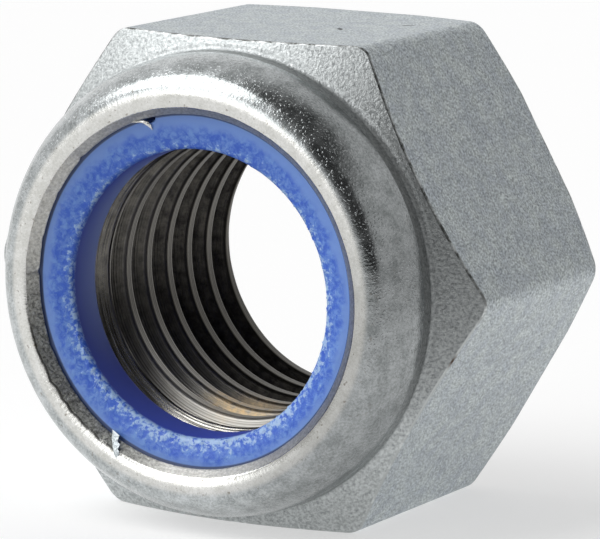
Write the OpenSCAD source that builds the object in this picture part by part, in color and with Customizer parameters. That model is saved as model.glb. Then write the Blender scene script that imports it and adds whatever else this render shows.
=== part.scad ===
// Hexagon lock nut with a nylon insert, lying on one of its flats.
// The thread axis runs along Y. The collar with the insert faces -Y and the bearing face +Y.
// The origin is on the thread axis, halfway along the nut. All sizes are in millimetres.

/* [Hexagon] */
// Distance between two opposite flats
across_flats = 36; // [34:0.5:42]
// Height of the middle of each flat, from the bearing face to the collar side
flat_height = 21; // [18:0.5:26]
// Radius of the six upright corners
corner_radius = 1.5; // [0.5:0.1:3]
// Slope of the corner chamfers, away from a plane square to the axis
chamfer_angle = 30; // [20:1:35]
// Diameter at which the chamfer of the bearing face starts
bearing_face_d = 36.8; // [34:0.2:38]

/* [Collar] */
// Height of the collar above the middle of the flats
collar_height = 6.1; // [5.6:0.1:8]
// Outside diameter of the collar's upright wall
collar_d = 34.3; // [33:0.1:35]
// Thickness of the collar's upright wall
collar_wall = 1.75; // [1.2:0.05:2.2]
// Radius of the hollow at the foot of the collar
foot_fillet = 0.45; // [0.1:0.05:0.8]
// Height of the rolled-in part of the collar
roll_height = 4.5; // [4:0.1:5]
// Diameter of the circle along which the rolled collar is highest
crest_d = 28.8; // [28.2:0.1:29.6]
// Radius of the roll at that circle
crest_radius = 1.9; // [1.5:0.1:2.2]

/* [Lip] */
// Thickness of the rolled-in lip under the crest
lip_thickness = 0.95; // [0.7:0.05:1.2]
// Diameter of the opening that the lip leaves over the insert
lip_opening_d = 26; // [25.4:0.1:26.4]
// Slope of the lip's cut edge, away from the axis
lip_cut_angle = 43; // [30:1:50]
// Radius of the bend under the lip, where the insert fills the corner
under_lip_radius = 1.6; // [0.8:0.1:1.8]

/* [Thread] */
// Nominal diameter of the bolt
thread_d = 24; // [22:0.5:25]
// Distance from one ridge of the thread to the next
pitch = 3; // [2:0.5:3]
// Diameter of the hole inside the thread's ridges
minor_d = 21; // [20.4:0.1:21.6]
// Distance from the bearing face to the middle of the first groove
first_groove = 1.4; // [0.8:0.1:2.2]
// Width of the countersink in the bearing face
countersink_d = 26; // [25:0.2:28]
// Width of the chamfer where the thread ends under the insert
run_out_d = 24.2; // [22.6:0.2:26]

/* [Insert] */
// Depth of the insert's seat below the collar's crest
seat_depth = 5.1; // [4.6:0.1:6]
// Diameter of the plain hole in the insert
insert_bore_d = 21.2; // [20.6:0.1:22]
// Radius of the worn edge around that hole
insert_edge_radius = 0.5; // [0.2:0.05:0.8]
// Slope of the insert's open face, down towards the hole
insert_face_angle = 13; // [5:1:20]
// Chamfer at the insert's lower edges
insert_chamfer = 0.3; // [0.1:0.05:0.6]
// Clearance all round between the insert and the collar
insert_clearance = 0.02; // [0.01:0.01:0.1]

/* [Hidden] */
$fn = 180;

// Room by which a cut runs past the metal
past = 1;

// Hexagon
flat_r = across_flats / 2;
corner_r = flat_r / cos(30);
round_centre_r = (flat_r - corner_radius) / cos(30);
bearing_face_r = bearing_face_d / 2;
chamfer_end_r = corner_r + past;

// Collar, measured from the bearing face
total_height = flat_height + collar_height;
collar_r = collar_d / 2;
foot_r = collar_r + foot_fillet;
foot_z = flat_height + (flat_r - foot_r) * tan(chamfer_angle);
roll_z = total_height - roll_height;
crest_r = crest_d / 2;
crest_z = total_height - crest_radius;

// The roll is a large arc that leaves the wall upright and runs smoothly into the crest's small arc
roll_inset = collar_r - crest_r;
roll_rise = roll_height - crest_radius;
roll_radius = (pow(roll_inset, 2) + pow(roll_rise, 2) - pow(crest_radius, 2)) / (2 * (roll_inset - crest_radius));
roll_centre_r = collar_r - roll_radius;
roll_angle = atan2(crest_z - roll_z, crest_r - roll_centre_r);

// Lip and the pocket for the insert
pocket_r = collar_r - collar_wall;
lip_r = lip_opening_d / 2;
roof_z = total_height - lip_thickness;
seat_z = total_height - seat_depth;
lip_cut_height = lip_thickness + past;

// Thread section: 60 degree flanks, with a flat an eighth of the pitch wide at the bottom of each groove
thread_r = thread_d / 2;
minor_r = minor_d / 2;
root_half = pitch / 16;
mouth_half = root_half + (thread_r - minor_r + past) * tan(30);
countersink_r = countersink_d / 2;
run_out_r = run_out_d / 2;
groove_count = 1 + floor((seat_z - first_groove) / pitch);

// Insert
insert_r = pocket_r - insert_clearance;
insert_bore_r = insert_bore_d / 2;
insert_foot_z = seat_z + insert_clearance;
insert_top_z = roof_z - insert_clearance;
insert_bend = under_lip_radius - insert_clearance;
edge_r = insert_bore_r + insert_edge_radius;
face_drop = (lip_r - edge_r) * tan(insert_face_angle);
edge_z = insert_top_z - face_drop - insert_edge_radius / cos(insert_face_angle);

// Turns a part drawn upright on its bearing face so that it lies on a flat, centred on the origin
module lay_down() {
    translate([0, total_height / 2, 0])
        rotate([90, 0, 0])
            children();
}

// Hexagonal prism with rounded corners: three crossed slabs and a rod in each corner
module rounded_hexagon(height) {
    for (turn = [0, 60, 120])
        rotate([0, 0, turn])
            translate([-round_centre_r / 2, -flat_r, 0])
                cube([round_centre_r, across_flats, height]);
    for (turn = [0 : 60 : 300])
        rotate([0, 0, turn])
            translate([round_centre_r, 0, 0])
                cylinder(r = corner_radius, h = height);
}

// Turned outline that cuts the corners of the hexagon at both ends
module chamfer_envelope() {
    rotate_extrude()
        polygon([
            [0, 0],
            [bearing_face_r, 0],
            [chamfer_end_r, (chamfer_end_r - bearing_face_r) * tan(chamfer_angle)],
            [chamfer_end_r, flat_height - (chamfer_end_r - flat_r) * tan(chamfer_angle)],
            [foot_r, foot_z],
            [0, foot_z]
        ]);
}

// Half section of the collar's outside, still without its pocket
module collar_section() {
    // Upright wall, running down into the hexagon
    polygon([[0, flat_height / 2], [collar_r, flat_height / 2], [collar_r, roll_z], [0, roll_z]]);
    // Hollow at the foot
    difference() {
        translate([collar_r - foot_fillet, foot_z - foot_fillet])
            square([2 * foot_fillet, 2 * foot_fillet]);
        translate([foot_r, foot_z + foot_fillet])
            circle(r = foot_fillet);
    }
    // Large arc of the roll, up to where the small arc takes over
    intersection() {
        translate([roll_centre_r, roll_z])
            circle(r = roll_radius);
        polygon([
            [roll_centre_r, roll_z],
            [roll_centre_r + 2 * roll_radius, roll_z],
            [roll_centre_r + 2 * roll_radius, roll_z + 2 * roll_radius * tan(roll_angle)]
        ]);
    }
    // Small arc over the crest, and the metal inside it
    translate([crest_r, crest_z])
        circle(r = crest_radius);
    polygon([[0, roll_z], [roll_centre_r + past, roll_z], [crest_r, crest_z], [crest_r, total_height], [0, total_height]]);
}

// Half section of the pocket that holds the insert, with the bend under the lip
module pocket_section() {
    polygon([
        [0, seat_z],
        [pocket_r, seat_z],
        [pocket_r, roof_z - under_lip_radius],
        [pocket_r - under_lip_radius, roof_z - under_lip_radius],
        [pocket_r - under_lip_radius, roof_z],
        [0, roof_z]
    ]);
    translate([pocket_r - under_lip_radius, roof_z - under_lip_radius])
        circle(r = under_lip_radius);
}

// Half section of the opening between the lip's cut edges
module lip_opening_section() {
    polygon([
        [0, roof_z - past / 2],
        [lip_r, roof_z - past / 2],
        [lip_r, roof_z],
        [lip_r + lip_cut_height * tan(lip_cut_angle), roof_z + lip_cut_height],
        [0, roof_z + lip_cut_height]
    ]);
}

// Half section of the threaded hole. Each groove has the thread's true section and closes on itself as a ring.
module thread_section() {
    polygon([[0, -past], [minor_r, -past], [minor_r, seat_z + past / 2], [0, seat_z + past / 2]]);
    for (i = [0 : groove_count - 1])
        translate([0, first_groove + i * pitch])
            polygon([
                [minor_r - past, -mouth_half],
                [thread_r, -root_half],
                [thread_r, root_half],
                [minor_r - past, mouth_half]
            ]);
    // Countersink in the bearing face
    polygon([[0, -past], [countersink_r + past, -past], [minor_r - past, countersink_r - minor_r + past], [0, countersink_r]]);
    // Chamfer under the insert
    polygon([
        [0, seat_z - run_out_r],
        [minor_r - past, seat_z - run_out_r + minor_r - past],
        [run_out_r, seat_z],
        [run_out_r, seat_z + past / 2],
        [0, seat_z + past / 2]
    ]);
}

// Zinc-plated steel nut: hexagon, collar, rolled-in lip and thread in one piece
module nut_body() {
    color([0.62, 0.64, 0.66])
        lay_down()
            difference() {
                union() {
                    // The prism stands taller than the outline that cuts its corners
                    intersection() {
                        rounded_hexagon(foot_z + past);
                        chamfer_envelope();
                    }
                    rotate_extrude()
                        collar_section();
                }
                rotate_extrude()
                    union() {
                        pocket_section();
                        lip_opening_section();
                        thread_section();
                    }
            }
}

// Half section of the insert, which fills the pocket and shows between the lip's edges
module insert_section() {
    polygon([
        [insert_bore_r, insert_foot_z + insert_chamfer],
        [insert_bore_r + insert_chamfer, insert_foot_z],
        [insert_r - insert_chamfer, insert_foot_z],
        [insert_r, insert_foot_z + insert_chamfer],
        [insert_r, insert_top_z - insert_bend],
        [insert_r - insert_bend, insert_top_z - insert_bend],
        [insert_r - insert_bend, insert_top_z],
        [lip_r, insert_top_z],
        [edge_r - insert_edge_radius * sin(insert_face_angle), edge_z + insert_edge_radius * cos(insert_face_angle)],
        [edge_r, edge_z],
        [insert_bore_r, edge_z]
    ]);
    // Rounded shoulder that fills the bend under the lip
    translate([insert_r - insert_bend, insert_top_z - insert_bend])
        circle(r = insert_bend);
    // Worn edge around the hole
    translate([edge_r, edge_z])
        circle(r = insert_edge_radius);
}

// Nylon ring with a plain hole, a little narrower than the bolt's thread
module nylon_insert() {
    color([0.20, 0.38, 0.80])
        lay_down()
            rotate_extrude()
                insert_section();
}

nut_body();
nylon_insert();
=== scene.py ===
# %% [markdown]
# # A hexagon lock nut with a nylon insert
# The object is one large nut, lying on a flat. It has two real pieces: the zinc-plated steel nut, and a blue
# nylon ring that is trapped under the nut's rolled-in collar. The nylon grips the bolt, so that the nut does
# not shake loose. The CAD model gives the exact sizes. Here both pieces get the surfaces that a camera sees:
# the true helix of the thread, soft corners, a frayed ring and the finishes.

import math
from functools import partial
from types import SimpleNamespace

import bmesh
import bpy
import numpy as np
from mathutils import Matrix, Vector, noise


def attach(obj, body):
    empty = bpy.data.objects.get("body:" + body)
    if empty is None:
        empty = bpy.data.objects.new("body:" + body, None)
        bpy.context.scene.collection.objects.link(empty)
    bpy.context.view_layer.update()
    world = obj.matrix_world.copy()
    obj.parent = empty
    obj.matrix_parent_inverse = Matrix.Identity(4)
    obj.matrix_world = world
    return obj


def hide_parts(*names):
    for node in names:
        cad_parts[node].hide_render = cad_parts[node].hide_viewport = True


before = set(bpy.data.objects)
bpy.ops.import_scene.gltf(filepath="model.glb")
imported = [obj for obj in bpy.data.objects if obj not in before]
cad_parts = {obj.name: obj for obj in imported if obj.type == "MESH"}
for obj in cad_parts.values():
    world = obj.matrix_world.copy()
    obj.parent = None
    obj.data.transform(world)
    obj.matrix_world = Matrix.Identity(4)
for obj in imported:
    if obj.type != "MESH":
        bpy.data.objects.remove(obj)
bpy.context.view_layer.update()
print("CAD nodes:", sorted(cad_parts))

# %% [markdown]
# ## Sizes
# All lengths are in millimetres, measured along the thread axis from the bearing face, which is the plain end
# of the nut. The model itself lies with its axis along Y and its origin halfway along the nut, so one
# function turns a radius, an angle and a height into a point of the scene. The angle runs counter-clockwise
# as the camera sees the collar, and it starts at the right.

# %% Sizes of the nut
MM = 0.001
HEIGHT = 27.1
FLAT_R = 18.0
CORNER_ROUND = 1.5
BEARING_FACE_R = 18.4
CHAMFER_SLOPE = math.tan(math.radians(30))
FLAT_HEIGHT = 21.0
COLLAR_R = 17.15
FOOT_FILLET = 0.45
ROLL_Z = 22.6
CREST_R = 14.4
CREST_ROUND = 1.9
LIP_R = 13.0
LIP_UNDERSIDE = 26.15
POCKET_R = 15.4
UNDER_LIP_ROUND = 1.6
SEAT_Z = 22.0
PITCH = 3.0
THREAD_R = 12.0
RIDGE_R = 10.5
COUNTERSINK_R = 13.0
RUN_OUT_R = 12.1


def place(r, angle, z):
    """Points of the scene in metres, from radius, angle in radians and height above the bearing face."""
    return np.stack([r * np.cos(angle), HEIGHT / 2 - z + 0 * angle, r * np.sin(angle)], axis=-1) * MM


FOOT_R = COLLAR_R + FOOT_FILLET
FOOT_Z = FLAT_HEIGHT + (FLAT_R - FOOT_R) * CHAMFER_SLOPE
CREST_Z = HEIGHT - CREST_ROUND
print(f"collar foot at radius {FOOT_R:.2f} mm, height {FOOT_Z:.2f} mm")

# %% [markdown]
# ## How to build a round part with a hexagon around it
# One way is to join a hexagon, a turned collar and a drilled hole with boolean modifiers. That gives long
# thin faces that shade badly. A cleaner way is a grid: walk round the axis in small steps, and at each step
# draw the half section of the nut as a chain of points. The chain has the same number of points at every
# step, so neighbouring chains join into even quads. Only the hexagon's radius changes from step to step. The
# corners turn 60 degrees within a few millimetres, so the steps are closer together there.

# %% Steps round the axis
STEP = 1.25
FINE_STEPS = (0.42, 0.84, 1.68, 2.11)

turns = set(np.round(np.arange(0, 360 + STEP / 2, STEP), 4))
for corner in range(0, 361, 60):
    for offset in FINE_STEPS:
        turns.update(t for t in (corner - offset, corner + offset) if 0 < t < 360)
turns = np.array(sorted(turns))
angles = np.radians(turns)
print(len(turns) - 1, "steps round the nut")

# %% Radius of the hexagon at each step
# The corner at 180 degrees is knocked back a little, because it stays hidden behind the collar in the photo.
BLUNT_CORNER, BLUNT_BY, BLUNT_WIDTH = 180, 0.2, 3.5

round_centre = (FLAT_R - CORNER_ROUND) / math.cos(math.radians(30))
from_corner = np.radians(np.abs((turns + 30) % 60 - 30))
flat_line = FLAT_R / np.cos(math.radians(30) - from_corner)
across = CORNER_ROUND**2 - (round_centre * np.sin(from_corner)) ** 2
corner_arc = round_centre * np.cos(from_corner) + np.sqrt(np.maximum(across, 0))
tangent = math.atan2(CORNER_ROUND / 2, round_centre + CORNER_ROUND * math.cos(math.radians(30)))
hexagon_r = np.where(from_corner > tangent, flat_line, corner_arc)
hexagon_r = hexagon_r - BLUNT_BY * np.exp(-(((turns - BLUNT_CORNER) / BLUNT_WIDTH) ** 2))
print(f"hexagon radius from {hexagon_r.min():.2f} to {hexagon_r.max():.2f} mm")

# %% [markdown]
# ## Slightly uneven metal
# The nut was forged and its collar was rolled over, so no edge is a perfect circle. A smooth noise that goes
# round with the angle gives each edge a waviness of a few hundredths of a millimetre. It is built from sine
# waves with whole numbers of turns, so that it closes on itself. The lip also has a few small nicks.

# %% A waviness that closes after one turn
def waviness(angle, size, seed, slowest=2, fastest=14):
    """A smooth wave of about the given size, in millimetres, that closes after a full turn."""
    chance = np.random.default_rng(seed)
    total = np.zeros_like(angle)
    for turns_per_lap in range(slowest, fastest + 1):
        wave = np.sin(turns_per_lap * angle + chance.uniform(0, math.tau))
        total += wave / math.sqrt(turns_per_lap)
    return total * size / math.sqrt(math.log(fastest / slowest + 1))


# angle in degrees, depth in millimetres, half width in degrees
LIP_NICKS = ((136, 0.16, 0.9), (151.5, 0.08, 0.8), (168, 0.09, 0.7), (178.6, 0.12, 0.9), (203, 0.10, 1.2))

# the stretch that the shears tore: its middle and half width in degrees
TORN_MIDDLE, TORN_WIDTH = 222, 22
# size in millimetres of the waves along the lip's tip, and along the outer corner of its cut edge
LIP_WAVE, LIP_TEAR = 0.012, 0.05
CUT_WAVE, CUT_TEAR = 0.02, 0.07
CUT_CORNER_R, CUT_CORNER_OVAL = 13.73, 0.12

torn = np.exp(-(((turns - TORN_MIDDLE) / TORN_WIDTH) ** 2))
lip_r = LIP_R + waviness(angles, LIP_WAVE, seed=3, fastest=40)
lip_r += torn * np.abs(waviness(angles, LIP_TEAR, seed=4, slowest=30, fastest=120))
for angle, depth, width in LIP_NICKS:
    lip_r += depth * np.exp(-(((turns - angle) / width) ** 2))
cut_corner_r = CUT_CORNER_R + CUT_CORNER_OVAL * np.cos(2 * angles)
cut_corner_r += waviness(angles, CUT_WAVE, seed=5, fastest=50)
cut_corner_r += torn * waviness(angles, CUT_TEAR, seed=6, slowest=25, fastest=110)
print(f"lip opening from {lip_r.min():.3f} to {lip_r.max():.3f} mm")

# %% [markdown]
# ## The half section
# The chain starts at the countersink and goes outward over the bearing face, up the flat, over the chamfer
# and the rolled collar, round the lip and into the pocket. Sharp corners do not exist on a plated nut, so
# each corner of the chain is replaced by a short curve. A quadratic curve between two points beside the
# corner is enough. The side after a corner first gets a point very near the curve. It keeps the wide faces
# flat in smooth shading.

# %% Points and arcs
def column(value):
    """A value that is the same at every step, or already given for each."""
    return np.broadcast_to(value, angles.shape).astype(float)


def point(r, z):
    return np.stack([column(r), column(z)], axis=-1)


def arc(centre_r, centre_z, radius, start, end, count):
    """Points of an arc. Its angles are in degrees, from outward towards the collar's crest."""
    return [
        point(centre_r + radius * np.cos(t), centre_z + radius * np.sin(t))
        for t in np.radians(np.linspace(start, end, count))
    ]


print("each point is drawn at", len(angles), "places round the axis at once")

# %% Rounded corners and the sides between them
# the largest share of a side that a rounded corner may take
SIDE_SHARE = 0.45
TINY = 1e-9


def soft_corner(before, corner, after, size, count):
    """A short curve in place of a corner. It starts and ends at most size away from it."""
    if size == 0:
        return [corner]
    ends = []
    for side in (before - corner, after - corner):
        length = np.linalg.norm(side, axis=-1, keepdims=True)
        ends.append(corner + side / np.maximum(length, TINY) * np.minimum(size, SIDE_SHARE * length))
    return [
        (1 - t) ** 2 * ends[0] + 2 * t * (1 - t) * corner + t**2 * ends[1] for t in np.linspace(0, 1, count)
    ]


def along(first, last, count, margin=0.1):
    """Points between two others. The outermost ones keep close to the ends."""
    side = last - first
    length = np.linalg.norm(side, axis=-1, keepdims=True)
    near = np.minimum(margin / np.maximum(length, TINY), 1 / (count + 1))
    return [first + side * (near + (1 - 2 * near) * t) for t in np.linspace(0, 1, count)]


print(f"a rounded corner takes at most {SIDE_SHARE:.0%} of each side")

# %% Chains of corners
section = []
finish_of_row = []


def extend(points, finish):
    """Adds points to the section, and notes the finish of the faces that follow each."""
    section.extend(points)
    finish_of_row.extend([finish] * len(points))


def soft_path(before, corners, after):
    """Adds corners: each has its curve's size, points and finish, then its side's points and finish."""
    stops = [before] + [corner[0] for corner in corners] + [after]
    curves = [soft_corner(*stops[i : i + 3], *corner[1:3]) for i, corner in enumerate(corners)]
    for i, (_, _, _, curve_finish, fill, finish) in enumerate(corners):
        extend(curves[i][:-1], curve_finish)
        extend(curves[i][-1:], finish)
        extend(along(curves[i][-1], (curves + [[after]])[i + 1][0], fill), finish)


print("the chain starts with", len(section), "points")

# %% Bearing face, flat and upper chamfer
EDGE = 0.1

countersink_edge = point(COUNTERSINK_R, 0)
face_end = point(np.minimum(BEARING_FACE_R, hexagon_r - EDGE), 0)
flat_start = point(hexagon_r, np.maximum((hexagon_r - BEARING_FACE_R) * CHAMFER_SLOPE, EDGE))
flat_end = point(hexagon_r, FLAT_HEIGHT + (FLAT_R - hexagon_r) * CHAMFER_SLOPE)
foot = point(FOOT_R, FOOT_Z)

soft_path(
    point(COUNTERSINK_R - 1, 1),
    [
        (countersink_edge, 0, 1, "turned", 4, "turned"),
        (face_end, 0.12, 3, "turned", 2, "turned"),
        (flat_start, 0.15, 4, "worn", 8, "forged"),
        (flat_end, 0.13, 4, "worn", 5, "turned"),
    ],
    foot,
)
print(len(section), "points up to the collar's foot")

# %% Collar: foot, wall, roll and crest
roll_r = COLLAR_R - CREST_R
rise = CREST_Z - ROLL_Z
roll_radius = (roll_r**2 + rise**2 - CREST_ROUND**2) / (2 * (roll_r - CREST_ROUND))
roll_centre = COLLAR_R - roll_radius
roll_angle = math.degrees(math.atan2(rise, CREST_R - roll_centre))
cut_height = CREST_Z + np.sqrt(CREST_ROUND**2 - (cut_corner_r - CREST_R) ** 2)
cut_angle = np.degrees(np.arctan2(cut_height - CREST_Z, cut_corner_r - CREST_R))

extend(arc(FOOT_R, FOOT_Z + FOOT_FILLET, FOOT_FILLET, 270, 180, 6), "turned")
extend(arc(roll_centre, ROLL_Z, roll_radius, 0, roll_angle, 10), "rolled")
crest = arc(CREST_R, CREST_Z, CREST_ROUND, np.full_like(angles, roll_angle), cut_angle, 16)
extend(crest[1:-1], "rolled")
print(f"roll of radius {roll_radius:.2f} mm over {roll_angle:.1f} degrees, then the crest")

# %% Lip: cut edge, tip and underside, and the pocket behind it
bend_r, bend_z = POCKET_R - UNDER_LIP_ROUND, LIP_UNDERSIDE - UNDER_LIP_ROUND
roof = point(bend_r, LIP_UNDERSIDE)
bend = arc(bend_r, bend_z, UNDER_LIP_ROUND, 60, 0, 3)

soft_path(
    section[-1],
    [
        (point(cut_corner_r, cut_height), 0.12, 4, "rolled", 4, "sheared"),
        (point(lip_r, LIP_UNDERSIDE), 0.08, 4, "sheared", 1, "tapped"),
        (roof, 0, 1, "tapped", 1, "tapped"),
    ],
    bend[0],
)
extend(bend, "tapped")
extend([point(POCKET_R, SEAT_Z), point(RUN_OUT_R, SEAT_Z)], "tapped")
print(len(section), "points in the outer chain")

# %% [markdown]
# ## The thread
# A thread is one groove that climbs as it goes round, so its section must move along the axis by one pitch in
# one turn. The grid does this by itself when its rows climb with the thread: each row then keeps its place in
# the section, and every ridge comes out straight and clean. After a full turn the rows have moved on by one
# pitch, so the last step has the same points as the first, and merging them closes the helix. The countersink
# and the chamfer at the other end cut into the ridges. A soft maximum of the radii does the same.

# %% Rows that climb with the thread
ROWS_PER_PITCH = 25
RIDGE_AT_START = 1.1
FLANK_SLOPE = math.tan(math.radians(30))

rows = np.arange(-ROWS_PER_PITCH, math.ceil(SEAT_Z / PITCH * ROWS_PER_PITCH) + 1)[::-1]
climbed = (rows[None, :] / ROWS_PER_PITCH + angles[:, None] / math.tau) * PITCH
thread_z = np.clip(climbed, 0, SEAT_Z)
row_z = rows / ROWS_PER_PITCH * PITCH
from_ridge = np.abs((row_z - RIDGE_AT_START + PITCH / 2) % PITCH - PITCH / 2)
# the bottom of the groove is an eighth of the pitch wide
root_start = PITCH / 2 - PITCH / 16
ridge_end = root_start - (THREAD_R - RIDGE_R) * FLANK_SLOPE
print(f"{len(rows)} rows, ridge {2 * ridge_end:.2f} mm wide, groove {PITCH / 8:.2f} mm at its bottom")

# %% Radius of the threaded hole
# softness in millimetres of the ridges' edges, the grooves' bottoms and the cuts at both ends
SOFT_RIDGE, SOFT_ROOT, SOFT_EDGE = 0.09, 0.12, 0.04


def larger(a, b, softness):
    """The larger of two radii, with the corner between them rounded off."""
    return (a + b + np.sqrt((a - b) ** 2 + softness**2)) / 2


def smaller(a, b, softness):
    return -larger(-a, -b, softness)


flank_r = RIDGE_R + (from_ridge - ridge_end) / FLANK_SLOPE
groove_r = smaller(larger(flank_r, RIDGE_R, SOFT_RIDGE), THREAD_R, SOFT_ROOT)
bore_r = larger(groove_r[None, :], COUNTERSINK_R - thread_z, SOFT_EDGE)
bore_r = larger(bore_r, RUN_OUT_R - (SEAT_Z - thread_z), SOFT_EDGE)
bore_r = np.where(climbed <= 0, COUNTERSINK_R, np.where(climbed >= SEAT_Z, RUN_OUT_R, bore_r))
print(f"threaded hole from radius {bore_r.min():.2f} to {bore_r.max():.2f} mm")

# %% [markdown]
# ## From points to a mesh
# The grid becomes a mesh in one go. Points that fall together, at the seam and where rows are cut off by the
# ends of the hole, are merged, and faces that lose their area disappear with them. Each face keeps the finish
# of its row as a material index.

# %% Join the steps into a closed mesh
FINISHES = ("forged", "turned", "worn", "rolled", "sheared", "tapped")


def grid_mesh(points, row_finish, names, merge=2e-6):
    """A closed mesh from points[step, row]. Points closer than merge, in metres, become one."""
    steps, count = points.shape[:2]
    mesh = bmesh.new()
    corners = [mesh.verts.new(p) for p in points.reshape(-1, 3)]
    for step in range(steps - 1):
        for row in range(count):
            following = (row + 1) % count
            face = mesh.faces.new(
                (
                    corners[step * count + row],
                    corners[step * count + following],
                    corners[(step + 1) * count + following],
                    corners[(step + 1) * count + row],
                )
            )
            face.material_index = names.index(row_finish[row])
            face.smooth = True
    bmesh.ops.remove_doubles(mesh, verts=mesh.verts, dist=merge)
    return mesh


def finish_piece(mesh, name):
    """Turns a bmesh into an object of the scene, with its faces all looking outward."""
    bmesh.ops.recalc_face_normals(mesh, faces=mesh.faces)
    data = bpy.data.meshes.new(name)
    mesh.to_mesh(data)
    open_edges = sum(1 for edge in mesh.edges if len(edge.link_faces) != 2)
    mesh.free()
    obj = bpy.data.objects.new(name, data)
    bpy.context.scene.collection.objects.link(obj)
    data.calc_loop_triangles()
    print(f"{name}: {len(data.loop_triangles)} triangles, {open_edges} open edges")
    return obj


outside = np.stack(section, axis=1)
threaded = np.stack([bore_r, thread_z], axis=-1)
chain = np.concatenate([outside, threaded], axis=1)
nut_points = place(chain[..., 0], angles[:, None], chain[..., 1])
nut_mesh = grid_mesh(nut_points, finish_of_row + ["tapped"] * len(rows), FINISHES)
print(len(nut_mesh.faces), "faces in the nut")

# %% [markdown]
# ## Burrs on the lip
# Shearing left thin slivers of metal on the lip. One lies on the nylon near the top, and a ragged flash
# crosses the cut edge at the lower left. Each is a small closed strip that follows a few points and narrows
# at its ends, and it is part of the nut's own mesh.

# %% Slivers of metal
SLIVER_THICKNESS = 0.05
# a sliver narrower than this half width is thinner too
FULL_THICKNESS_FROM = 0.06
# radius, angle in degrees, height, half width: lengths in millimetres
TOP_BURR = (
    (13.12, 114.0, 26.22, 0.02),
    (13.04, 112.0, 26.26, 0.05),
    (12.96, 110.2, 26.27, 0.07),
    (12.84, 108.8, 26.26, 0.10),
    (12.66, 107.8, 26.22, 0.15),
    (12.46, 107.3, 26.14, 0.13),
    (12.28, 107.3, 26.05, 0.07),
    (12.10, 107.0, 25.98, 0.02),
)
LOW_FLASH = (
    (12.84, 238.6, 26.10, 0.03),
    (12.94, 239.9, 26.25, 0.22),
    (13.06, 241.2, 26.44, 0.46),
    (13.26, 242.0, 26.60, 0.28),
    (13.46, 243.0, 26.78, 0.50),
    (13.66, 243.8, 26.92, 0.30),
    (13.86, 244.6, 26.99, 0.44),
    (14.05, 245.8, 27.02, 0.20),
    (14.32, 247.6, 27.02, 0.03),
)


def add_sliver(mesh, knots, finish):
    """Adds a strip with a flattened diamond section."""
    path = [Vector(place(np.array(r), math.radians(a), z)) for r, a, z, _ in knots]
    rings = []
    for i, (_, _, _, half) in enumerate(knots):
        ahead = (path[min(i + 1, len(path) - 1)] - path[max(i - 1, 0)]).normalized()
        sideways = ahead.cross(Vector((0, -1, 0))).normalized() * half * MM
        lift = Vector((0, -1, 0)) * SLIVER_THICKNESS * MM * min(1, half / FULL_THICKNESS_FROM)
        spots = (path[i] + sideways, path[i] + lift, path[i] - sideways, path[i] - lift)
        rings.append([mesh.verts.new(p) for p in spots])
    faces = [mesh.faces.new(rings[0]), mesh.faces.new(rings[-1])]
    for near, far in zip(rings, rings[1:]):
        for k in range(4):
            faces.append(mesh.faces.new((near[k], near[(k + 1) % 4], far[(k + 1) % 4], far[k])))
    for face in faces:
        face.material_index = FINISHES.index(finish)


add_sliver(nut_mesh, TOP_BURR, "rolled")
add_sliver(nut_mesh, LOW_FLASH, "forged")
nut = finish_piece(nut_mesh, "lock_nut_body")
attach(nut, "root")
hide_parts("nut_body")

# %% [markdown]
# ## The nylon ring
# The ring was pressed into the pocket and the collar was rolled over it. It shows as a band inside the lip: a
# smooth outer part and an inner part that falls away to the hole, with a rim that is soft and a little
# frayed. The hole is slightly off centre, as it is on the real nut. The same grid method makes it, with more
# steps, because the frayed rim needs them.

# %% Section of the ring
RING_STEPS = 720
HOLE_R = 10.65
HOLE_DROP = 0.3
RING_FOOT = 22.02
RING_R = 15.38
RING_TOP = 26.13
RING_BEND = 1.58
UNDER_LIP_R = 13.35
LIP_LINE_Z = 25.96
BROW_Z, BROW_SHARE = 25.90, 0.62
RIM_Z = 25.45

angles = np.radians(np.linspace(0, 360, RING_STEPS + 1))
hole_r = -HOLE_DROP * np.sin(angles) + np.sqrt(HOLE_R**2 - (HOLE_DROP * np.cos(angles)) ** 2)
wall_foot = point(hole_r, RING_FOOT)
brow = point(hole_r * (1 - BROW_SHARE) + LIP_R * BROW_SHARE, BROW_Z)
rim = point(hole_r, RIM_Z)

section = []
finish_of_row = []
shoulder = arc(RING_R - RING_BEND, RING_TOP - RING_BEND, RING_BEND, 0, 90, 6)
soft_path(
    rim,
    [(wall_foot, 0.3, 3, "nylon", 2, "nylon"), (point(RING_R, RING_FOOT), 0.3, 3, "nylon", 2, "nylon")],
    shoulder[0],
)
extend(shoulder, "nylon")
soft_path(
    section[-1],
    [
        (point(UNDER_LIP_R, RING_TOP), 0, 1, "nylon", 1, "nylon"),
        (point(LIP_R, LIP_LINE_Z), 0.1, 3, "nylon", 8, "nylon"),
        (brow, 0.4, 5, "nylon", 12, "nylon"),
        (rim, 0.4, 9, "nylon", 14, "nylon"),
    ],
    section[0],
)
print(len(section), "points in the ring's chain")

# %% Noise for the frayed rim and the dents of the face
# sizes in millimetres, then the fall-off, growth of frequency and number of octaves of the fine noise
FIBRE, DENT = 0.42, 2.4
FIBRE_OCTAVES = (0.7, 2.1, 4)

ring_chain = np.stack(section, axis=1)
flat_points = place(ring_chain[..., 0], angles[:, None], ring_chain[..., 1]).reshape(-1, 3)
fine = np.array([noise.fractal(Vector(p) / (FIBRE * MM), *FIBRE_OCTAVES) for p in flat_points])
broad = np.array([noise.noise(Vector(p) / (DENT * MM)) for p in flat_points])
fine, broad = (values.reshape(ring_chain.shape[:2]) for values in (fine, broad))
print(f"fine noise from {fine.min():.2f} to {fine.max():.2f}")

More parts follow.
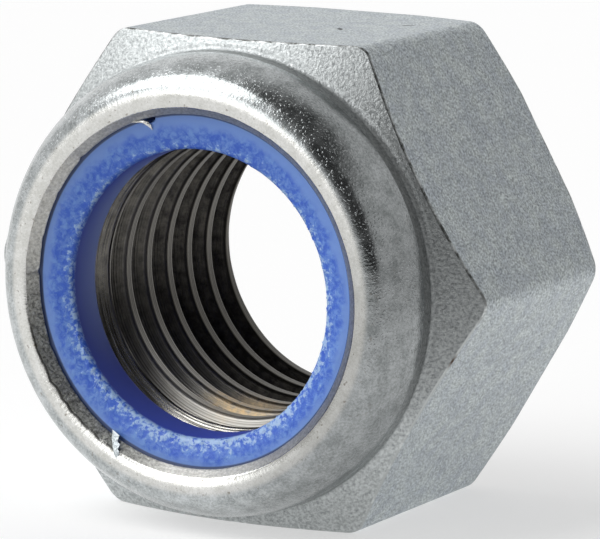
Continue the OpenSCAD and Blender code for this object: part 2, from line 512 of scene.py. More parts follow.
# %% Fray the rim and dent the face
# lengths in millimetres: how far all of the rim frays, how much more its worn side does, and how far tufts
# stand out, and then how far the face is dented and grained
FRAY, FRAY_BY_WEAR, TUFT = 0.024, 0.06, 0.35
DENT_ACROSS, DENT_DEPTH, GRAIN_DEPTH = 0.03, 0.05, 0.012
RIM_WIDTH = 0.40
# the face starts at this height and ends at this radius, and each takes so many millimetres to fade
FACE_Z, FACE_Z_FADE, FACE_R, FACE_R_FADE = 24.6, 0.8, 12.9, 0.3
# wear at the rim: angle in degrees of its worst side, mean and swing
WORN_SIDE, WEAR, WEAR_SWING = 285, 0.55, 0.45
TUFT_FROM, TUFT_MOST, TUFT_LIFT = 0.35, 0.7, 0.6

radius_of, height_of = ring_chain[..., 0], ring_chain[..., 1]
to_rim = np.hypot(radius_of - hole_r[:, None], height_of - RIM_Z)
at_rim = np.exp(-((to_rim / RIM_WIDTH) ** 2))
on_face = np.clip((height_of - FACE_Z) / FACE_Z_FADE, 0, 1)
on_face = on_face * np.clip((FACE_R - radius_of) / FACE_R_FADE, 0, 1)
worn = WEAR + WEAR_SWING * np.cos(angles - math.radians(WORN_SIDE))[:, None]
tufts = np.clip(fine - TUFT_FROM, 0, TUFT_MOST) * TUFT * at_rim * worn
fray = at_rim * (FRAY + FRAY_BY_WEAR * worn)
ring_chain[..., 0] += on_face * (fine * fray + broad * DENT_ACROSS - tufts)
ring_chain[..., 1] += on_face * (fine * (fray + GRAIN_DEPTH) + broad * DENT_DEPTH + tufts * TUFT_LIFT)
ring_chain[-1] = ring_chain[0]
print(f"tufts stand out by up to {tufts.max():.2f} mm")

# %% Tear beside the top burr
TEAR_ANGLE, TEAR_HALF_WIDTH = 107.6, 2.6
TEAR_R, TEAR_R_FADE = 12.62, 0.2
TEAR_LOWEST, TEAR_DEPTH = 25.5, 0.9

turn = np.degrees(angles)[:, None]
tear = np.clip(1 - np.abs(turn - TEAR_ANGLE) / TEAR_HALF_WIDTH, 0, 1)
tear = tear * np.clip((ring_chain[..., 0] - TEAR_R) / TEAR_R_FADE, 0, 1)
tear *= ring_chain[..., 1] > TEAR_LOWEST
ring_chain[..., 1] -= TEAR_DEPTH * tear
ring_points = place(ring_chain[..., 0], angles[:, None], ring_chain[..., 1])
ring = finish_piece(grid_mesh(ring_points, finish_of_row, ("nylon",)), "nylon_ring")
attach(ring, "root")
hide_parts("nylon_insert")

# %% [markdown]
# ## Colours and nodes
# Colours are written as sRGB hex values, as a colour picker shows them. Blender calculates with linear light,
# so one function converts them. A second one adds a node, sets it up and links its inputs in one line. It
# returns the output that the node's settings switch on, so that the next node can take it as it is. The nodes
# with several outputs are asked for theirs by name. Each node tree gets its own copy of that function, called
# add. Three short names hold settings that many nodes share.

# %% Colour and node helpers
# a mix of two colours, a colour multiplied by another, and a range with soft ends
COLOUR = {"data_type": "RGBA"}
TINT = {"data_type": "RGBA", "blend_type": "MULTIPLY"}
SMOOTH = {"interpolation_type": "SMOOTHSTEP"}


def linear(code):
    """Linear RGBA from an sRGB hex colour."""
    parts = [int(code[i : i + 2], 16) / 255 for i in (1, 3, 5)]
    return [c / 12.92 if c <= 0.04045 else ((c + 0.055) / 1.055) ** 2.4 for c in parts] + [1.0]


def connect(node, inputs):
    """Sets a node's inputs: each is a value, or a socket to link from."""
    for key, value in inputs.items():
        if isinstance(value, bpy.types.NodeSocket):
            node.id_data.links.new(value, node.inputs[key])
        else:
            node.inputs[key].default_value = value


def add_node(tree, kind, inputs=None, **settings):
    """Adds a shader node with its settings and inputs, and returns its first output that is in use."""
    node = tree.nodes.new("ShaderNode" + kind)
    for name, value in settings.items():
        setattr(node, name, value)
    connect(node, inputs or {})
    return next((output for output in node.outputs if output.enabled), None)


print("light zinc in linear light:", [round(c, 3) for c in linear("#edf2f4")[:3]])

# %% [markdown]
# A pattern has to know where it is on the nut. The object's own coordinates, scaled to millimetres, give the
# place; from it come the height above the bearing face, the distance from the thread axis and the direction
# outward from that axis. Because the object's origin stays at the middle of the nut, they hold for both
# pieces. Some stains lie at one spot or on one side of the nut. Their places are an angle round the axis,
# too.

# %% A material with its places on the nut
def new_material(name, drop=0.0):
    """An empty material, its shader and the places that patterns use, in millimetres.

    The radius and the direction outward start from a line that lies drop below the thread axis.
    """
    material = bpy.data.materials.new(name)
    material.use_nodes = True
    material.node_tree.nodes.clear()
    add = partial(add_node, material.node_tree)
    shader = add("BsdfPrincipled").node
    add("OutputMaterial", {"Surface": shader.outputs["BSDF"]})
    metres = add("TexCoord").node.outputs["Object"]
    spot = add("VectorMath", {0: metres, "Scale": 1 / MM}, operation="SCALE")
    axes = add("SeparateXYZ", {0: spot}).node.outputs
    height = add("Math", {0: HEIGHT / 2, 1: axes["Y"]}, operation="SUBTRACT")
    lowered = add("VectorMath", {0: spot, 1: (0, 0, drop)}, operation="ADD")
    level = add("VectorMath", {0: lowered, 1: (1, 0, 1)}, operation="MULTIPLY")
    radius = add("VectorMath", {0: level}, operation="LENGTH")
    outward = add("VectorMath", {0: level}, operation="NORMALIZE")
    places = SimpleNamespace(spot=spot, height=height, radius=radius, outward=outward)
    return material, add, shader, places


def dress(piece, material):
    """Gives a piece its next material."""
    piece.data.materials.append(material)
    print(f"{piece.name}: {material.name}, {len(material.node_tree.nodes)} nodes")


# %% One side and one spot of the nut
def outward_at(angle):
    """The direction outward from the axis, at an angle in degrees."""
    return Vector((math.cos(math.radians(angle)), 0, math.sin(math.radians(angle))))


def spot_at(radius, angle, height):
    """A spot of the nut in millimetres, from its radius, angle in degrees and height."""
    return (Vector(place(np.array(radius), math.radians(angle), height)) / MM)[:]


def facing(add, outward, middle, inner, outer, far=0.0, near=1.0):
    """Goes smoothly from far, outside the outer angle of a direction, to near, inside the inner one."""
    cosine = add("VectorMath", {0: outward, 1: middle}, operation="DOT_PRODUCT")
    limits = {
        "Value": cosine,
        "From Min": math.cos(math.radians(outer)),
        "From Max": math.cos(math.radians(inner)),
        "To Min": far,
        "To Max": near,
    }
    return add("MapRange", limits, **SMOOTH)


print("the lower left is at", [round(value, 2) for value in outward_at(225)])

# %% [markdown]
# ## Zinc on forged steel
# The hexagon was hot forged, tumbled and electroplated with zinc. That leaves a cool grey skin without
# polish: each grain of about a sixth of a millimetre tilts the light its own way, so the flats look like fine
# stone. A noise at the grain's size drives the bump and a slight change of colour, and sparse dark pits lie
# between. Two small knocks mark the top flat.

# %% Material of the hexagon
# two small knocks on the top flat: middle in mm, turn in degrees, half length, half width and depth in mm
KNOCKS = (
    ((3.82, 2.27, FLAT_R), 125, (0.75, 0.24, 0.5)),
    ((7.00, 7.20, FLAT_R), 36, (0.65, 0.20, 0.5)),
)


def zinc_forged():
    material, add, shader, at = new_material("zinc_plated_forged_steel")
    grain = add("TexNoise", {"Vector": at.spot, "Scale": 1 / 0.17, "Detail": 2.0, "Roughness": 0.7})
    clouds = add("TexNoise", {"Vector": at.spot, "Scale": 1 / 1.4, "Detail": 4.0, "Roughness": 0.6})
    speck = add("MapRange", {"Value": grain, "From Min": 0.36, "From Max": 0.62})
    tone = add("Mix", {"Factor": speck, "A": linear("#a7adb0"), "B": linear("#edf2f4")}, **COLOUR)
    pits = add("TexNoise", {"Vector": at.spot, "Scale": 1 / 0.31, "Detail": 2.0})
    pitted = add("MapRange", {"Value": pits, "From Min": 0.64, "From Max": 0.72, "To Max": 0.5})
    dotted = add("Mix", {"Factor": pitted, "A": tone, "B": linear("#75797b")}, **COLOUR)
    marked = 0.0
    for middle, turn, size in KNOCKS:
        local = add(
            "Mapping",
            {"Vector": at.spot, "Location": middle, "Rotation": (0, 0, math.radians(turn)), "Scale": size},
            vector_type="TEXTURE",
        )
        away = add("VectorMath", {0: local}, operation="LENGTH")
        knock = add("MapRange", {"Value": away, "From Min": 1.0, "From Max": 0.6})
        marked = add("Math", {0: marked, 1: knock}, operation="MAXIMUM")
    knocked = add("Mix", {"Factor": marked, "A": dotted, "B": linear("#54585a")}, **COLOUR)
    cast = add("MapRange", {"Value": clouds, "From Min": 0.35, "From Max": 0.65})
    shade = add("Mix", {"Factor": cast, "A": linear("#e9ebef"), "B": linear("#fcfdfb")}, **COLOUR)
    clouded = add("Mix", {"Factor": 1.0, "A": knocked, "B": shade}, **TINT)
    bump = add("Bump", {"Height": grain, "Strength": 1.0, "Distance": 0.035 * MM})
    connect(shader, {"Base Color": clouded, "Normal": bump, "Metallic": 1.0, "Roughness": 0.60})
    return material


dress(nut, zinc_forged())

# %% [markdown]
# ## Zinc on the turned chamfers
# The chamfers at both ends were turned on a lathe before plating. They glitter more than the forged flats,
# because a coarse scale like orange peel, about a quarter of a millimetre wide, is left in them. So the bump
# is larger here and the skin smoother. A painted dark reflection darkens the corner at the right, and a
# painted shade darkens the hollow at the collar's foot.

# %% Material of the chamfers
# angle in degrees of the painted dark reflection, and height above the foot where the painted shade starts
SHADED_CHAMFER = 8
FOOT_SHADE_START = 0.24


def zinc_turned():
    material, add, shader, at = new_material("zinc_plated_turned_steel")
    peel = add("TexNoise", {"Vector": at.spot, "Scale": 1 / 0.23, "Detail": 2.5, "Roughness": 0.7})
    speck = add("MapRange", {"Value": peel, "From Min": 0.30, "From Max": 0.62})
    tone = add("Mix", {"Factor": speck, "A": linear("#969a9b"), "B": linear("#ced2d2")}, **COLOUR)
    # painted dark reflection: the corner at the right is darkened in colour
    painted_dark_side = facing(add, at.outward, outward_at(SHADED_CHAMFER), inner=12, outer=45, far=1.0, near=0.66)
    # painted shade: the hollow at the collar's foot is darkened in colour
    foot_shade = add(
        "MapRange",
        {
            "Value": at.height,
            "From Min": FOOT_Z + FOOT_SHADE_START,
            "From Max": FOOT_Z + FOOT_FILLET,
            "To Min": 1.0,
            "To Max": 0.7,
        },
        **SMOOTH,
    )
    dark = add("Math", {0: painted_dark_side, 1: foot_shade}, operation="MULTIPLY")
    shaded_tone = add("Mix", {"Factor": 1.0, "A": tone, "B": dark}, **TINT)
    bump = add("Bump", {"Height": peel, "Strength": 1.0, "Distance": 0.055 * MM})
    connect(shader, {"Base Color": shaded_tone, "Normal": bump, "Metallic": 1.0, "Roughness": 0.50})
    return material


dress(nut, zinc_turned())

# %% [markdown]
# ## Worn edges
# Where a flat meets a chamfer, the turning tool left a fine ragged burr. Handling has rubbed it bright in
# some places, and dirt lies beside it in others. A noise with lumps of about a millimetre decides between the
# two on the upper side. Lower down the edge is mostly clean, apart from one brown nick.

# %% Material of the edges
# radius, angle in degrees and height of the brown nick
NICK = (18.87, -12.5, 20.5)


def zinc_worn():
    material, add, shader, at = new_material("zinc_plated_worn_edge")
    chips = add("TexNoise", {"Vector": at.spot, "Scale": 1 / 1.2, "Detail": 6.0, "Roughness": 0.75})
    zone_mask = add("MapRange", {"Value": chips, "From Min": 0.42, "From Max": 0.60})
    axes = add("SeparateXYZ", {0: at.outward}).node.outputs
    below = add("MapRange", {"Value": axes["Z"], "From Min": 0.1, "From Max": -0.1, "To Max": 0.7})
    clean = add("Math", {0: zone_mask, 1: below}, operation="MAXIMUM")
    tone = add("Mix", {"Factor": clean, "A": linear("#595a58"), "B": linear("#d4d8d8")}, **COLOUR)
    away = add("VectorMath", {0: at.spot, 1: spot_at(*NICK)}, operation="DISTANCE")
    chipped = add("MapRange", {"Value": away, "From Min": 0.75, "From Max": 0.05})
    nicked = add("Mix", {"Factor": chipped, "A": tone, "B": linear("#4a3a2e")}, **COLOUR)
    bump = add("Bump", {"Height": chips, "Strength": 1.0, "Distance": 0.05 * MM})
    connect(shader, {"Base Color": nicked, "Normal": bump, "Metallic": 1.0, "Roughness": 0.35})
    return material


dress(nut, zinc_worn())

# %% [markdown]
# ## Zinc on the rolled collar
# Rolling pressed the collar smooth before it was plated, so it reflects its surroundings much more clearly
# than the flats do. Tiny raised grains still catch the light one by one, which gives the dark parts their
# bright specks. Real ones are finer than a tenth of a millimetre. They are drawn at 0.15 mm, two pixels of
# the photo, so that they show. The crest is paler, partly rubbed by the tool and partly a painted highlight,
# and it has brown specks of dirt. A painted shade darkens the hollow at the collar's foot, and the lower
# right is darker, partly a thin film of oil and partly a painted dark reflection.

# %% Material of the collar
# angle in degrees of the side darkened by oil and a painted dark reflection, scale of the streaks' noise
# round the collar, and share of the fine grain in the mottled colour
DARKENED_COLLAR = 335
STREAKS_ROUND = 45.0
GRAIN_SHARE = 0.45


def zinc_rolled():
    material, add, shader, at = new_material("zinc_plated_rolled_steel")
    grain = add("TexNoise", {"Vector": at.spot, "Scale": 1 / 0.18, "Detail": 2.0, "Roughness": 0.7})
    clouds = add("TexNoise", {"Vector": at.spot, "Scale": 1 / 1.3, "Detail": 5.0, "Roughness": 0.65})
    around = add("VectorMath", {0: at.outward, "Scale": STREAKS_ROUND}, operation="SCALE")
    streaks = add("TexNoise", {"Vector": around, "Scale": 1.0, "Detail": 2.0})
    uneven = add("Math", {0: clouds, 1: 1 - GRAIN_SHARE}, operation="MULTIPLY")
    mottle = add("Math", {0: grain, 1: GRAIN_SHARE, 2: uneven}, operation="MULTIPLY_ADD")
    patch = add("MapRange", {"Value": mottle, "From Min": 0.38, "From Max": 0.60})
    tone = add("Mix", {"Factor": patch, "A": linear("#999e9e"), "B": linear("#cdd1d2")}, **COLOUR)
    # the paler crest is partly rubbed by the tool and partly a painted highlight
    zone_mask = add("MapRange", {"Value": at.radius, "From Min": 15.05, "From Max": 14.55}, **SMOOTH)
    crest_tone = add("Mix", {"Factor": patch, "A": linear("#cbcbc6"), "B": linear("#e1e1de")}, **COLOUR)
    crest = add("Mix", {"Factor": zone_mask, "A": tone, "B": crest_tone}, **COLOUR)
    spots = add("TexNoise", {"Vector": at.spot, "Scale": 1 / 0.45, "Detail": 3.0, "Roughness": 0.6})
    spotted = add("MapRange", {"Value": spots, "From Min": 0.63, "From Max": 0.71})
    near_crest = add(
        "MapRange", {"Value": at.radius, "From Min": 15.8, "From Max": 14.6, "To Min": 0.2, "To Max": 0.7}
    )
    brown = add("Math", {0: spotted, 1: near_crest}, operation="MULTIPLY")
    dirt_and_shade = add("Mix", {"Factor": brown, "A": crest, "B": linear("#7b7264")}, **COLOUR)
    # painted shade: the hollow at the collar's foot is darkened in colour
    from_hollow = add("Math", {0: at.height, 1: FOOT_Z + FOOT_FILLET}, operation="SUBTRACT")
    to_hollow = add("Math", {0: from_hollow}, operation="ABSOLUTE")
    foot_shade = add(
        "MapRange",
        {"Value": to_hollow, "From Min": 0.03, "From Max": 0.18, "To Min": 0.5, "To Max": 1.0},
        **SMOOTH,
    )
    shaded_tone = add("Mix", {"Factor": 1.0, "A": dirt_and_shade, "B": foot_shade}, **TINT)
    # the lower right is darkened in colour: partly a film of oil, partly a painted dark reflection
    painted_dark_side = facing(add, at.outward, outward_at(DARKENED_COLLAR), inner=15, outer=60, far=1.0, near=0.66)
    darkened_side = add("Mix", {"Factor": 1.0, "A": shaded_tone, "B": painted_dark_side}, **TINT)
    gloss = add(
        "MapRange", {"Value": clouds, "From Min": 0.35, "From Max": 0.65, "To Min": 0.17, "To Max": 0.27}
    )
    ridged = add("Bump", {"Height": streaks, "Strength": 1.0, "Distance": 0.012 * MM})
    uneven_skin = add("Bump", {"Height": grain, "Strength": 1.0, "Distance": 0.009 * MM, "Normal": ridged})
    dust = add("TexNoise", {"Vector": at.spot, "Scale": 1 / 0.15, "Detail": 0.0})
    raised = add("MapRange", {"Value": dust, "From Min": 0.62, "From Max": 0.75})
    glitter_strength = add(
        "MapRange", {"Value": at.radius, "From Min": 14.9, "From Max": 15.4, "To Min": 0.2}
    )
    glitter = add(
        "Bump",
        {"Height": raised, "Strength": glitter_strength, "Distance": 0.012 * MM, "Normal": uneven_skin},
    )
    connect(shader, {"Base Color": darkened_side, "Normal": glitter, "Metallic": 1.0, "Roughness": gloss})
    return material


dress(nut, zinc_rolled())

# %% [markdown]
# ## The lip's cut edge
# The rim of the collar was sheared when the blank was made, and rolling turned that edge towards the camera.
# It is greyer than the plated faces. At the lower left the shear tore the metal, so there it is dark and
# coarse.

# %% Material of the cut edge
TORN_SIDE = 216


def zinc_sheared():
    material, add, shader, at = new_material("zinc_plated_sheared_edge")
    grain = add("TexNoise", {"Vector": at.spot, "Scale": 1 / 0.22, "Detail": 4.0, "Roughness": 0.75})
    coarse = facing(add, at.outward, outward_at(TORN_SIDE), inner=16, outer=48)
    patch = add("MapRange", {"Value": grain, "From Min": 0.34, "From Max": 0.66})
    clean = add("Mix", {"Factor": patch, "A": linear("#9a9994"), "B": linear("#cdccc6")}, **COLOUR)
    rough = add("Mix", {"Factor": patch, "A": linear("#4e4e4a"), "B": linear("#c4c4bb")}, **COLOUR)
    tone = add("Mix", {"Factor": coarse, "A": clean, "B": rough}, **COLOUR)
    relief = add("MapRange", {"Value": coarse, "To Min": 0.02 * MM, "To Max": 0.07 * MM})
    bump = add("Bump", {"Height": grain, "Strength": 1.0, "Distance": relief})
    connect(shader, {"Base Color": tone, "Normal": bump, "Metallic": 1.0, "Roughness": 0.42})
    return material


dress(nut, zinc_sheared())

# %% [markdown]
# ## Tapped steel
# The thread was cut after plating, so it is bare steel. Its grooves are painted nearly black, a painted shade
# of the deep hole, in patches of old oil, and the tops of the ridges are a little lighter. The lower side
# towards the end under the nylon is painted much lighter, a painted pool of the light that comes in through
# the hole. The tap leaves fine lines that follow the helix: a noise that only looks at the radius and at the
# place within one climbing turn draws them. That place is a point on a small circle, so that each turn runs
# on into the next. The real lines are finer, and these are drawn 0.14 mm apart, so that they show. A small
# patch at the bottom has turned tan with rust.

# %% Material of the thread
# radius, angle in degrees and height of the rust patch
RUST = (10.7, 262, 15.5)


def tapped_steel():
    material, add, shader, at = new_material("tapped_oiled_steel")
    axes = add("SeparateXYZ", {0: at.outward}).node.outputs
    turn = add("Math", {0: axes["Z"], 1: axes["X"]}, operation="ARCTAN2")
    rise = add("Math", {0: at.height, 1: math.tau / PITCH}, operation="MULTIPLY")
    climb = add("Math", {0: rise, 1: turn}, operation="SUBTRACT")
    wave = [add("Math", {0: climb}, operation=operation) for operation in ("COSINE", "SINE")]
    ring_spot = [add("Math", {0: node, 1: PITCH / math.tau}, operation="MULTIPLY") for node in wave]
    line_spot = add("CombineXYZ", {"X": ring_spot[0], "Y": ring_spot[1], "Z": at.radius})
    lines = add("TexNoise", {"Vector": line_spot, "Scale": 1 / 0.14, "Detail": 2.0})
    oil = add("TexNoise", {"Vector": at.spot, "Scale": 1 / 0.8, "Detail": 5.0, "Roughness": 0.7})
    scratched = add("MapRange", {"Value": lines, "From Min": 0.35, "From Max": 0.65})
    oily = add("MapRange", {"Value": oil, "From Min": 0.35, "From Max": 0.65})
    # painted shade: the grooves are darkened in colour, in random patches
    groove = add("Mix", {"Factor": oily, "A": linear("#302e2c"), "B": linear("#615e57")}, **COLOUR)
    ridge = add("MapRange", {"Value": at.radius, "From Min": 10.72, "From Max": 10.54}, **SMOOTH)
    ridge_tone = add("Mix", {"Factor": scratched, "A": linear("#383633"), "B": linear("#75726c")}, **COLOUR)
    thread_tone = add("Mix", {"Factor": ridge, "A": groove, "B": ridge_tone}, **COLOUR)
    # painted light: the lower side towards the end under the nylon is painted much lighter
    mouth = add("MapRange", {"Value": at.height, "From Min": 19.2, "From Max": 20.9}, **SMOOTH)
    low = add("MapRange", {"Value": axes["Z"], "From Min": -0.25, "From Max": -0.9, "To Min": 0.12}, **SMOOTH)
    near_end = add(
        "MapRange", {"Value": at.height, "From Min": 9.0, "From Max": 19.0, "To Max": 0.75}, **SMOOTH
    )
    shallow = add("Math", {0: mouth, 1: near_end}, operation="MAXIMUM")
    zone_mask = add("Math", {0: shallow, 1: low}, operation="MULTIPLY")
    painted_light_tone = add("Mix", {"Factor": scratched, "A": linear("#6f6d66"), "B": linear("#eae7e0")}, **COLOUR)
    tone = add("Mix", {"Factor": zone_mask, "A": thread_tone, "B": painted_light_tone}, **COLOUR)
    away = add("VectorMath", {0: at.spot, 1: spot_at(*RUST)}, operation="DISTANCE")
    rust = add("MapRange", {"Value": away, "From Min": 4.2, "From Max": 1.2}, **SMOOTH)
    rust_share = add("Math", {0: rust, 1: oily}, operation="MULTIPLY")
    rusty = add("Mix", {"Factor": rust_share, "A": tone, "B": linear("#e2c597")}, **COLOUR)
    gloss = add("MapRange", {"Value": mouth, "To Min": 0.44, "To Max": 0.26})
    bump = add("Bump", {"Height": lines, "Strength": 1.0, "Distance": 0.04 * MM})
    connect(shader, {"Base Color": rusty, "Normal": bump, "Metallic": 1.0, "Roughness": gloss})
    return material


dress(nut, tapped_steel())

# %% [markdown]
# ## Blue nylon
# The ring is moulded polyamide with a blue pigment, slightly translucent and softly glossy. Where the tool
# that sized the hole has rubbed it, the surface is torn: the face near the hole is mottled, with pale specks,
# and the rim is a pale fringe, most of all at the bottom. Noises with thresholds draw them, and the distance
# from the hole decides how many there are. The wall inside the hole is even and matt, painted dark as a
# painted shade of the hole, apart from a painted sheen at the left, next to the thread. A painted shadow
# follows the lip.

# %% Material of the ring
# angles in degrees of the wall's side with a painted sheen, and of the side where the rim is torn most
SHEEN_SIDE, TORN_RIM = 160, 290
# how far the line between the face's two parts wanders, in millimetres, and how much the torn side adds
WANDER, TORN_SIDE_ADDS = 1.6, 0.035


def blue_nylon():
    material, add, shader, at = new_material("moulded_blue_nylon", drop=HOLE_DROP)
    broad = add("TexNoise", {"Vector": at.spot, "Scale": 1 / 1.5, "Detail": 3.0})
    mottle = add(
        "TexNoise",
        {"Vector": at.spot, "Scale": 1 / 0.55, "Detail": 5.0, "Roughness": 0.70, "Distortion": 0.35},
    )
    fleck = add("TexNoise", {"Vector": at.spot, "Scale": 1 / 0.30, "Detail": 3.0, "Roughness": 0.65})
    wobble = add("Math", {0: broad, 1: WANDER, 2: at.radius}, operation="MULTIPLY_ADD")
    inner = add("MapRange", {"Value": wobble, "From Min": 13.55, "From Max": 12.75}, **SMOOTH)
    on_face = add("MapRange", {"Value": at.height, "From Min": 24.9, "From Max": 25.35}, **SMOOTH)
    cloud = add("MapRange", {"Value": mottle, "From Min": 0.37, "From Max": 0.66}, **SMOOTH)
    clouded = add("Mix", {"Factor": cloud, "A": linear("#3567d8"), "B": linear("#749fe8")}, **COLOUR)
    face_tone = add("Mix", {"Factor": inner, "A": linear("#779de6"), "B": clouded}, **COLOUR)
    # painted shade: the wall inside the hole is darker in colour, with a painted sheen on its left side
    deep = add("MapRange", {"Value": at.height, "From Min": 25.2, "From Max": 22.6})
    sheen_side = facing(add, at.outward, outward_at(SHEEN_SIDE), inner=18.2, outer=63.3)
    pale = add("Math", {0: deep, 1: sheen_side}, operation="MULTIPLY")
    wall_shade_and_sheen = add("Mix", {"Factor": pale, "A": linear("#2342b6"), "B": linear("#7f96d8")}, **COLOUR)
    tone = add("Mix", {"Factor": on_face, "A": wall_shade_and_sheen, "B": face_tone}, **COLOUR)
    torn_level = add(
        "MapRange", {"Value": at.radius, "From Min": 12.3, "From Max": 10.9, "To Min": 0.70, "To Max": 0.49}
    )
    both = add("Math", {0: mottle, 1: fleck}, operation="ADD")
    half = add("Math", {0: both, 1: 0.5}, operation="MULTIPLY")
    above = add("Math", {0: half, 1: torn_level}, operation="SUBTRACT")
    low = add("VectorMath", {0: at.outward, 1: outward_at(TORN_RIM)}, operation="DOT_PRODUCT")
    torn = add("Math", {0: low, 1: TORN_SIDE_ADDS, 2: above}, operation="MULTIPLY_ADD")
    speck = add("MapRange", {"Value": torn, "From Min": -0.03, "From Max": 0.07}, **SMOOTH)
    speck_share = add("Math", {0: speck, 1: on_face}, operation="MULTIPLY")
    flecked = add("Mix", {"Factor": speck_share, "A": tone, "B": linear("#afcdf4")}, **COLOUR)
    # painted shadow: a dark line on the ring along the lip
    level = add("VectorMath", {0: at.spot, 1: (1, 0, 1)}, operation="MULTIPLY")
    from_axis = add("VectorMath", {0: level}, operation="LENGTH")
    lip_shadow = add(
        "MapRange", {"Value": from_axis, "From Min": 12.82, "From Max": 12.95, "To Max": 0.85}, **SMOOTH
    )
    dirt_and_shade = add("Mix", {"Factor": lip_shadow, "A": flecked, "B": linear("#18234a")}, **COLOUR)
    zone_mask = add("Math", {0: inner, 1: on_face}, operation="MULTIPLY")
    relief = add("MapRange", {"Value": zone_mask, "To Min": 0.01 * MM, "To Max": 0.11 * MM})
    bump = add("Bump", {"Height": half, "Strength": 1.0, "Distance": relief})
    gloss = add("MapRange", {"Value": on_face, "To Min": 0.58, "To Max": 0.40})
    connect(shader, {"Base Color": dirt_and_shade, "Normal": bump, "Roughness": gloss, "IOR": 1.53})
    depth = {"Subsurface Weight": 0.12, "Subsurface Radius": (0.3, 0.5, 1.0), "Subsurface Scale": 0.6 * MM}
    connect(shader, depth)
    return material


dress(ring, blue_nylon())

# %% [markdown]
# ## The studio
# The nut lies on plain white paper. A large soft box stands to the front left and a smaller one below and
# beside it, and the room behind the camera is dark on the right: a rolled steel collar shows all of them as
# bands. The fill light is a world with a few soft-edged areas, each given by the direction of its middle,
# seen from the nut. Azimuth 0 is the direction that the collar faces, and it grows towards the right.

# %% Directions and soft boxes
def direction(azimuth, elevation):
    a, e = math.radians(azimuth), math.radians(elevation)
    return Vector((math.sin(a) * math.cos(e), -math.cos(a) * math.cos(e), math.sin(e)))


def soft_box(name, azimuth, elevation, width, brightness):
    """A sun lamp so wide, in degrees, that it works as a soft box of the given brightness."""
    lamp = bpy.data.lights.new(name, "SUN")
    lamp.angle = math.radians(width)
    lamp.energy = brightness * math.pi * math.sin(math.radians(width / 2)) ** 2
    obj = bpy.data.objects.new(name, lamp)
    obj.rotation_euler = direction(azimuth, elevation).to_track_quat("Z", "Y").to_euler()
    bpy.context.scene.collection.objects.link(obj)
    print(f"{name}: {lamp.energy:.2f} W/m2")


# name, azimuth, elevation and width in degrees, brightness
for box in (("large_soft_box", -55, 53, 50, 3.0), ("small_soft_box", -27, 17, 34, 1.7)):
    soft_box(*box)

# %% World
def ray_kinds(add):
    """Two shares: 1 for the camera's own rays, and 1 for rays that a shiny or clear surface sends on."""
    rays = add("LightPath").node.outputs
    sent_on = {0: rays["Is Glossy Ray"], 1: rays["Is Transmission Ray"]}
    return rays["Is Camera Ray"], add("Math", sent_on, operation="MAXIMUM")


FILL = 0.50
# azimuth and elevation of the middle, inner and outer half width in degrees, brightness
ROOM = (
    ("left_wall", -105, -5, 45, 95, 0.74),
    ("dark_ceiling", 50, 72, 20, 42, 0.07),
    ("dark_room", 34, 25, 22, 42, 0.04),
)
VIEW_AZIMUTH, VIEW_ELEVATION = 28.92, 9.927
# inner and outer half width of the white paper behind the nut, as the metal shows it
PAPER_INNER, PAPER_OUTER = 22, 46

world = bpy.data.worlds.new("studio")
bpy.context.scene.world = world
world.use_nodes = True
world.node_tree.nodes.clear()
add = partial(add_node, world.node_tree)
outward = add("TexCoord").node.outputs["Generated"]
level = add("Value")
level.default_value = FILL
for name, azimuth, elevation, inner, outer, brightness in ROOM:
    share = facing(add, outward, direction(azimuth, elevation), inner, outer)
    level = add("Mix", {"Factor": share, "A": level, "B": brightness})

behind = direction(VIEW_AZIMUTH + 180, 0)
paper = facing(add, outward, behind, PAPER_INNER, PAPER_OUTER)
by_camera, by_mirror = ray_kinds(add)
in_metal = add("Math", {0: by_mirror, 1: paper}, operation="MULTIPLY")
white = add("Math", {0: by_camera, 1: in_metal}, operation="MAXIMUM")
level = add("Mix", {"Factor": white, "A": level, "B": 1.0})
shine = add("Background", {"Color": (1, 1, 1, 1), "Strength": level})
add("OutputWorld", {"Surface": shine})
print(len(ROOM), "areas in the room, fill light", FILL)

# %% [markdown]
# ## The floor
# White paper, large enough to fill the view. The lamps light it, so that the nut's shadow stays. Seen by the
# camera and in the metal it also gets some light of its own, which takes it to plain white. That light falls
# off to the right, where the paper turns to pale grey: the collar's right side reflects it there.

# %% Paper floor
# half the paper's side, in metres
FLOOR_HALF = 3.0
PAPER = "#c4c4c4"
OWN_LIGHT, FADED_LIGHT = 0.50, 0.20
# the direction in which its own light fades, and where that starts and ends, in millimetres from the middle
FADE_AZIMUTH, FADE_START, FADE_END = 80, 15, 120

sheet = bmesh.new()
edge = [(FLOOR_HALF * x, FLOOR_HALF * y, -FLAT_R * MM) for x, y in ((-1, -1), (1, -1), (1, 1), (-1, 1))]
sheet.faces.new([sheet.verts.new(p) for p in edge])
floor_mesh = bpy.data.meshes.new("paper_floor")
sheet.to_mesh(floor_mesh)
sheet.free()
floor = bpy.data.objects.new("paper_floor", floor_mesh)
bpy.context.scene.collection.objects.link(floor)

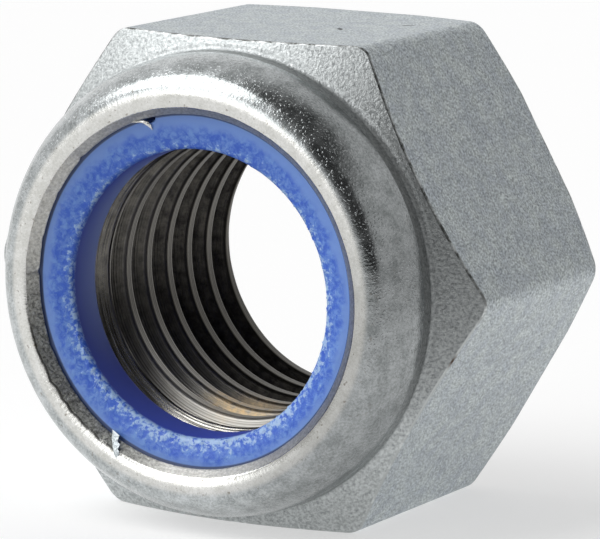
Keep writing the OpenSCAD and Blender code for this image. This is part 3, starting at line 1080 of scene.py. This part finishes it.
paper_material = bpy.data.materials.new("white_paper")
paper_material.use_nodes = True
paper_material.node_tree.nodes.clear()
add = partial(add_node, paper_material.node_tree)
by_camera, by_mirror = ray_kinds(add)
seen = add("Math", {0: by_camera, 1: by_mirror}, operation="MAXIMUM")
spot = add("TexCoord").node.outputs["Object"]
along_fade = add("VectorMath", {0: spot, 1: direction(FADE_AZIMUTH, 0) / MM}, operation="DOT_PRODUCT")
lit = add(
    "MapRange",
    {
        "Value": along_fade,
        "From Min": FADE_END,
        "From Max": FADE_START,
        "To Min": FADED_LIGHT,
        "To Max": OWN_LIGHT,
    },
    **SMOOTH,
)
own = add("Math", {0: seen, 1: lit}, operation="MULTIPLY")
matt = add("BsdfDiffuse", {"Color": linear(PAPER)})
glow = add("Emission", {"Color": (1, 1, 1, 1), "Strength": own})
surface = add("AddShader", {0: matt, 1: glow})
add("OutputMaterial", {"Surface": surface})
floor.data.materials.append(paper_material)
print("floor at", round(-FLAT_R, 2), "mm")

# %% [markdown]
# ## The camera
# A long lens from about a third of a metre, slightly above the thread axis and well to the right of it. The
# direction, distance and focal length were worked out from the outline of the hexagon and the ellipses of the
# collar.

# %% Camera
IMAGE_WIDTH = 600
FOCAL_PIXELS = 4587.7
SENSOR = 36.0
DISTANCE = 344.82
ROLL = 0.788
# the camera aims near a point on the axis, at this height above the bearing face
AIM_HEIGHT = 12.0
# how far the camera's axis passes to the right of that point and above it
AIM_RIGHT, AIM_UP = 0.960, -0.383
# nearest thing that it shows, in metres
NEAREST = 0.01

view = direction(VIEW_AZIMUTH, VIEW_ELEVATION)
right = (-view).cross(Vector((0, 0, 1))).normalized()
up = right.cross(-view)
tilt = math.radians(ROLL)
level_right, level_up = right, up
right = math.cos(tilt) * level_right + math.sin(tilt) * level_up
up = math.cos(tilt) * level_up - math.sin(tilt) * level_right
target = Vector((0, HEIGHT / 2 - AIM_HEIGHT, 0))
spot = (target + AIM_RIGHT * right + AIM_UP * up + DISTANCE * view) * MM

camera = bpy.data.objects.new("camera", bpy.data.cameras.new("camera"))
camera.data.sensor_width = SENSOR
camera.data.lens = FOCAL_PIXELS / IMAGE_WIDTH * SENSOR
camera.data.clip_start = NEAREST
rotation = Matrix((right, up, view)).transposed()
camera.matrix_world = Matrix.Translation(spot) @ rotation.to_4x4()
bpy.context.scene.collection.objects.link(camera)
bpy.context.scene.camera = camera
bpy.context.scene.view_settings.view_transform = "Standard"
print(f"lens {camera.data.lens:.1f} mm at {DISTANCE:.0f} mm")
